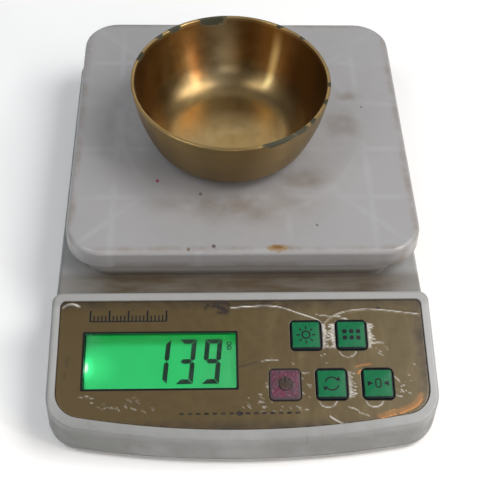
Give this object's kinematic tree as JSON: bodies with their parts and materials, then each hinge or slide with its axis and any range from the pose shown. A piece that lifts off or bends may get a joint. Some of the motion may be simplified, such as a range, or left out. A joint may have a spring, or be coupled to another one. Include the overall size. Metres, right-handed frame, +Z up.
{
  "type": "weighing scale",
  "caption": "Compact electronic weighing scale with a square platform, a sloping brass-coloured panel with a lit display and keys, and a loose brass bowl on top.",
  "frame": {"origin": "on the table, under the middle of the scale's footprint", "axes": "+X right as the user faces the panel, +Y away from the user towards the platform, +Z up"},
  "size_m": [0.171, 0.2468, 0.0794],
  "materials": {
    "shell_plastic": "moulded, satin, worn and a little yellowed, with brown dirt in the corners",
    "tray_plastic": "moulded, satin, faint rib lines showing through, dirt at the edges",
    "base_plastic": "moulded, matt",
    "foot_rubber": "matt",
    "screw_steel": "zinc plated",
    "panel_film": "brass-coloured metallic printed film, scratched and creased",
    "window_film": "clear film",
    "lcd_glass": "clear glass with polariser",
    "lcd_ink": "dark liquid crystal segments",
    "inner_plastic": "moulded, matt",
    "light_guide": "green backlit guide",
    "led": "lit green lamp",
    "connector_rubber": "striped elastomer",
    "board_green": "solder mask",
    "component_black": "moulded",
    "chip_resin": "cured resin",
    "key_green": "embossed film, green print with a black outline",
    "key_worn": "embossed film, print worn to pink and grey",
    "plunger_plastic": "moulded",
    "beam_aluminium": "milled",
    "gauge_silicone": "silicone cover",
    "cable_jacket": "flexible jacket",
    "wire_jacket": "flexible jacket",
    "cell_jacket": "plain printed sleeve",
    "contact_steel": "nickel plated",
    "socket_plastic": "moulded",
    "bracket_paint": "black paint",
    "bowl_brass": "turned, satin, with dark green tarnish at the rim"
  },
  "bodies": {
    "housing": {"top_shell": "shell_plastic", "base_shell": "base_plastic", "rubber_feet": "foot_rubber", "case_screws": "screw_steel", "panel_overlay": "panel_film", "display_window": "window_film", "lcd_glass": "lcd_glass", "lcd_segments": "lcd_ink", "lcd_holder": "inner_plastic", "light_guide": "light_guide", "backlight_led": "led", "lcd_connector": "connector_rubber", "main_board": "board_green", "board_components": "component_black", "chip_cover": "chip_resin", "board_screws": "screw_steel", "tact_switches": "component_black", "load_cell": "beam_aluminium", "gauge_covers": "gauge_silicone", "cell_spacer": "beam_aluminium", "cell_screws": "screw_steel", "cell_cable": "cable_jacket", "battery_cells": "cell_jacket", "battery_springs": "contact_steel", "battery_plates": "contact_steel", "power_wires": "wire_jacket", "dc_socket": "socket_plastic"},
    "platform": {"platform_tray": "tray_plastic", "spider_bracket": "bracket_paint", "load_post": "bracket_paint", "spider_screws": "screw_steel", "tray_screws": "screw_steel"},
    "bowl": {"brass_bowl": "bowl_brass"},
    "door": {"battery_door": "base_plastic"},
    "light_key": {"key_light": "key_green", "plunger_light": "plunger_plastic"},
    "count_key": {"key_count": "key_green", "plunger_count": "plunger_plastic"},
    "power_key": {"key_power": "key_worn", "plunger_power": "plunger_plastic"},
    "mode_key": {"key_mode": "key_green", "plunger_mode": "plunger_plastic"},
    "tare_key": {"key_tare": "key_green", "plunger_tare": "plunger_plastic"}
  },
  "joints": [
    {"name": "platform_press", "type": "slide", "parent": "housing", "child": "platform", "axis": [0, 0, -1], "range_m": [0, 0.0006], "stiffness_N_per_m": 163000, "deforming": ["load_cell"]},
    {"name": "bowl_lift", "type": "slide", "parent": "platform", "child": "bowl", "axis": [0, 0, 1], "range_m": [0, 0.06]},
    {"name": "door_hinge", "type": "hinge", "parent": "housing", "child": "door", "pos_m": [0, -0.0046, 0.0028], "axis": [1, 0, 0], "range_deg": [0, 80]},
    {"name": "light_press", "type": "slide", "parent": "housing", "child": "light_key", "axis": [0, 0.2079, -0.9781], "range_m": [0, 0.0005], "stiffness_N_per_m": 3000},
    {"name": "count_press", "type": "slide", "parent": "housing", "child": "count_key", "axis": [0, 0.2079, -0.9781], "range_m": [0, 0.0005], "stiffness_N_per_m": 3000},
    {"name": "power_press", "type": "slide", "parent": "housing", "child": "power_key", "axis": [0, 0.2079, -0.9781], "range_m": [0, 0.0005], "stiffness_N_per_m": 3000},
    {"name": "mode_press", "type": "slide", "parent": "housing", "child": "mode_key", "axis": [0, 0.2079, -0.9781], "range_m": [0, 0.0005], "stiffness_N_per_m": 3000},
    {"name": "tare_press", "type": "slide", "parent": "housing", "child": "tare_key", "axis": [0, 0.2079, -0.9781], "range_m": [0, 0.0005], "stiffness_N_per_m": 3000}
  ]
}
